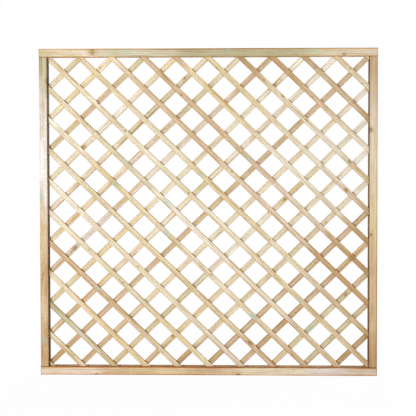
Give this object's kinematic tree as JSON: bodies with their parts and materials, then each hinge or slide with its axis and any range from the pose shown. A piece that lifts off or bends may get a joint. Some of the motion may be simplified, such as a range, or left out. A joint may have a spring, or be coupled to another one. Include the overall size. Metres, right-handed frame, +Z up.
{
  "type": "trellis panel",
  "caption": "Framed garden trellis panel: a diagonal lattice of two slat layers held in a grooved timber frame, for fixing between posts or on a wall.",
  "frame": {"origin": "centre of the panel's footprint, at the bottom of the bottom rail", "axes": "+X across the panel's width, +Y from front to back, +Z up; the front layer of slats faces -Y"},
  "size_m": [1.8, 0.045, 1.746],
  "materials": {
    "frame_timber": "planed pressure-treated softwood",
    "front_slat_timber": "planed pressure-treated softwood",
    "back_slat_timber": "planed pressure-treated softwood",
    "screw_steel": "zinc plated",
    "nail_steel": "galvanised"
  },
  "bodies": {
    "root": {"top_rail": "frame_timber", "bottom_rail": "frame_timber", "left_stile": "frame_timber", "right_stile": "frame_timber", "front_slat_01": "front_slat_timber", "front_slat_02": "front_slat_timber", "front_slat_03": "front_slat_timber", "front_slat_04": "front_slat_timber", "front_slat_05": "front_slat_timber", "front_slat_06": "front_slat_timber", "front_slat_07": "front_slat_timber", "front_slat_08": "front_slat_timber", "front_slat_09": "front_slat_timber", "front_slat_10": "front_slat_timber", "front_slat_11": "front_slat_timber", "front_slat_12": "front_slat_timber", "front_slat_13": "front_slat_timber", "front_slat_14": "front_slat_timber", "front_slat_15": "front_slat_timber", "front_slat_16": "front_slat_timber", "front_slat_17": "front_slat_timber", "front_slat_18": "front_slat_timber", "front_slat_19": "front_slat_timber", "front_slat_20": "front_slat_timber", "front_slat_21": "front_slat_timber", "back_slat_01": "back_slat_timber", "back_slat_02": "back_slat_timber", "back_slat_03": "back_slat_timber", "back_slat_04": "back_slat_timber", "back_slat_05": "back_slat_timber", "back_slat_06": "back_slat_timber", "back_slat_07": "back_slat_timber", "back_slat_08": "back_slat_timber", "back_slat_09": "back_slat_timber", "back_slat_10": "back_slat_timber", "back_slat_11": "back_slat_timber", "back_slat_12": "back_slat_timber", "back_slat_13": "back_slat_timber", "back_slat_14": "back_slat_timber", "back_slat_15": "back_slat_timber", "back_slat_16": "back_slat_timber", "back_slat_17": "back_slat_timber", "back_slat_18": "back_slat_timber", "back_slat_19": "back_slat_timber", "back_slat_20": "back_slat_timber", "back_slat_21": "back_slat_timber", "top_frame_screws": "screw_steel", "bottom_frame_screws": "screw_steel", "lattice_nails": "nail_steel"}
  },
  "joints": []
}
